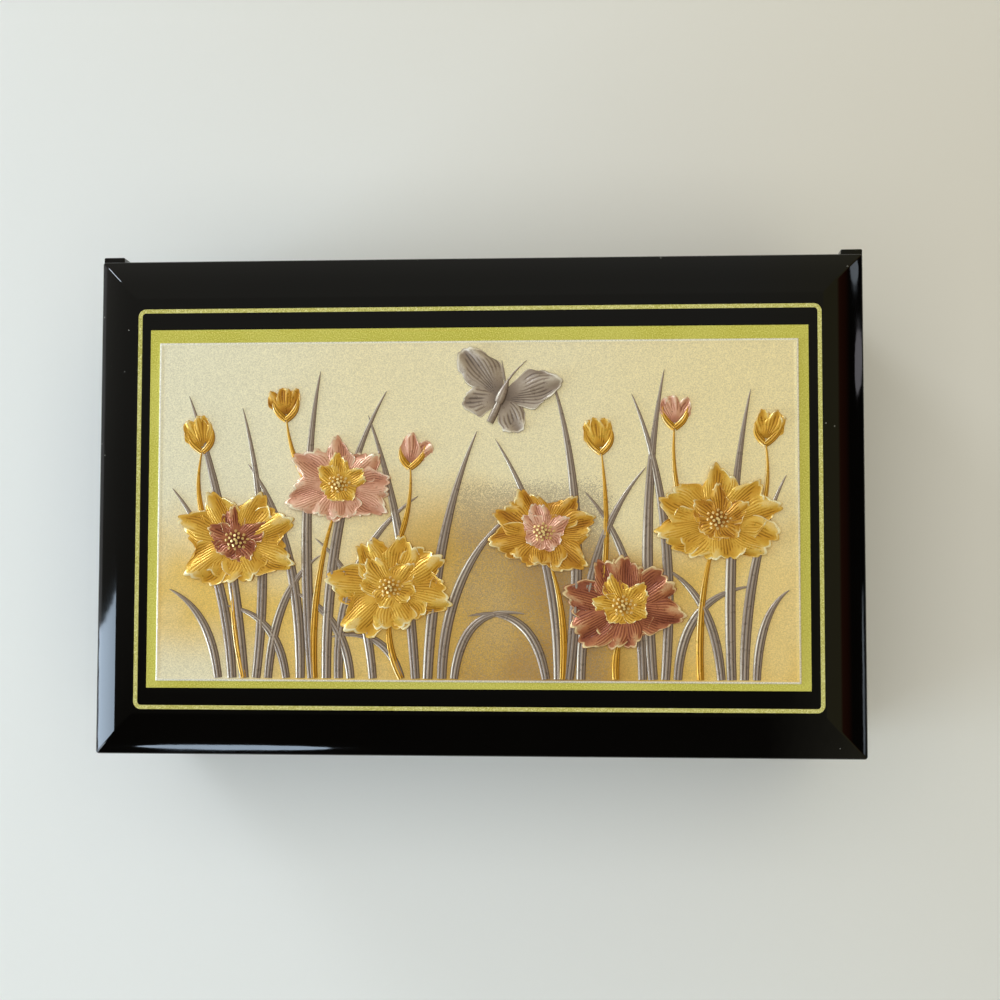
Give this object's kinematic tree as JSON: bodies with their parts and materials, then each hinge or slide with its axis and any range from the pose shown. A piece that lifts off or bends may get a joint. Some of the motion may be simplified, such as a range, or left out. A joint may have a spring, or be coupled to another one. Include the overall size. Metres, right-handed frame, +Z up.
{
  "type": "musical jewelry box",
  "caption": "Gloss lidded musical jewellery box with raised plaque, lid mirror, flocked tray, ring rolls and a key-wound pinned-cylinder movement.",
  "frame": {"origin": "centre of the footprint, on the surface the box stands on", "axes": "+Z up, front edge of the lid towards -Y, hinge towards +Y, +X to the right seen from the front"},
  "size_m": [0.192, 0.1262, 0.07],
  "materials": {
    "case_lacquer": "high gloss black",
    "gold_foil": "satin yellow-green gold foil",
    "plaque_metal": "satin embossed sheet with translucent tints",
    "velvet": "flocked wine red",
    "roll_velvet": "short-pile velvet over foam",
    "mirror": "silvered glass",
    "card_foam": "foamed card",
    "rubber": "matt",
    "steel": "ground steel",
    "zinc": "die-cast, blasted",
    "brass": "turned brass",
    "lead": "dull",
    "nylon": "natural nylon",
    "clear_sheet": "clear sheet"
  },
  "bodies": {
    "case": {"case_shell": "case_lacquer", "feet": "rubber", "hinge_pins": "steel", "tray_insert": "velvet", "movement_window": "clear_sheet", "ring_roll_1": "roll_velvet", "ring_roll_2": "roll_velvet", "ring_roll_3": "roll_velvet", "ring_roll_4": "roll_velvet", "bedplate": "zinc", "cylinder_bridge": "zinc", "train_bracket": "brass", "governor_bridge": "brass", "comb": "steel", "comb_weights": "lead", "comb_screws": "steel", "mounting_screws": "steel", "lever_bracket": "steel", "lever_pin": "steel"},
    "lid": {"lid_shell": "case_lacquer", "gold_line": "gold_foil", "gold_band": "gold_foil", "plaque_plate": "plaque_metal", "lid_lining": "velvet", "mirror_glass": "mirror", "mirror_backing": "card_foam"},
    "barrel": {"spring_barrel": "brass", "barrel_cover": "brass", "mainspring": "steel"},
    "key": {"winding_key": "brass", "winding_arbor": "steel"},
    "cylinder": {"cylinder_arbor": "steel", "pinned_drum": "brass", "cylinder_gear": "brass"},
    "intermediate": {"intermediate_arbor": "steel", "worm_wheel": "nylon"},
    "governor": {"governor_worm": "steel", "air_brake_fan": "nylon"},
    "stop_lever": {"stop_lever": "steel"}
  },
  "joints": [
    {"name": "lid_hinge", "type": "hinge", "parent": "case", "child": "lid", "pos_m": [0, 0.0615, 0.0548], "axis": [-1, 0, 0], "range_deg": [0, 105]},
    {"name": "stop_lever_pivot", "type": "hinge", "parent": "case", "child": "stop_lever", "pos_m": [0.0784, 0.05, 0.03], "axis": [-1, 0, 0], "range_deg": [0, 8]},
    {"name": "cylinder_turn", "type": "hinge", "parent": "case", "child": "cylinder", "pos_m": [0.05835, 0.022, 0.03397], "axis": [1, 0, 0], "continuous": true},
    {"name": "barrel_turn", "type": "hinge", "parent": "case", "child": "barrel", "pos_m": [0.04385, 0.022, 0.02], "axis": [0, 0, 1], "continuous": true},
    {"name": "intermediate_turn", "type": "hinge", "parent": "case", "child": "intermediate", "pos_m": [0.05835, 0.0302, 0.03027], "axis": [1, 0, 0], "continuous": true},
    {"name": "governor_turn", "type": "hinge", "parent": "case", "child": "governor", "pos_m": [0.0784, 0.0365, 0.02], "axis": [0, 0, 1], "continuous": true},
    {"name": "winding_key_turn", "type": "hinge", "parent": "case", "child": "key", "pos_m": [0.04385, 0.022, 0.01], "axis": [0, 0, 1], "continuous": true}
  ],
  "couplings": [
    {"joint": "stop_lever_pivot", "follows": "lid_hinge", "ratio": 0.076},
    {"joint": "barrel_turn", "follows": "cylinder_turn", "ratio": 0.25},
    {"joint": "intermediate_turn", "follows": "cylinder_turn", "ratio": -4},
    {"joint": "governor_turn", "follows": "cylinder_turn", "ratio": 96}
  ]
}
